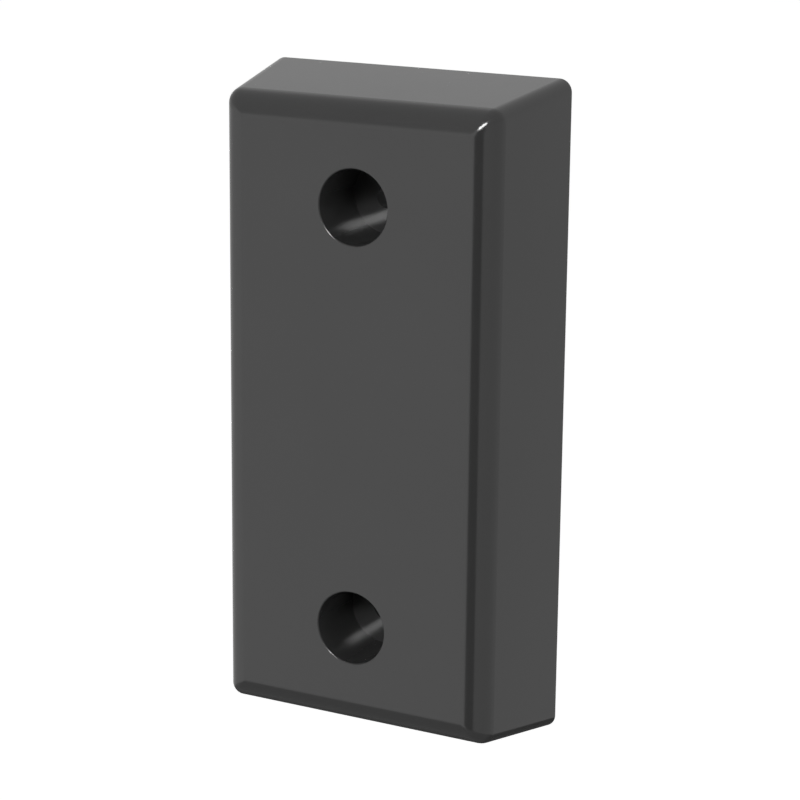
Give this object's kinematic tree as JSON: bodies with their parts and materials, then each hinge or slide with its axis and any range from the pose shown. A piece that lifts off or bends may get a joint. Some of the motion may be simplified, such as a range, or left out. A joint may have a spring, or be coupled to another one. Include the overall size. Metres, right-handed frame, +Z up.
{
  "type": "dock bumper",
  "caption": "Moulded rubber loading dock bumper, a tapered rectangular block with deep counterbored holes for bolting it flat to a wall.",
  "frame": {"origin": "middle of the flat back face, in the plane of the wall, halfway between the two bolt holes", "axes": "+Z up the wall along the block's length, +Y into the wall, +X to the right as seen by someone facing the wall; the front face looks along -Y"},
  "size_m": [0.25, 0.1, 0.5],
  "materials": {
    "moulded_rubber": "satin, smooth as it leaves the mould"
  },
  "bodies": {
    "root": {"bumper_block": "moulded_rubber"}
  },
  "joints": []
}
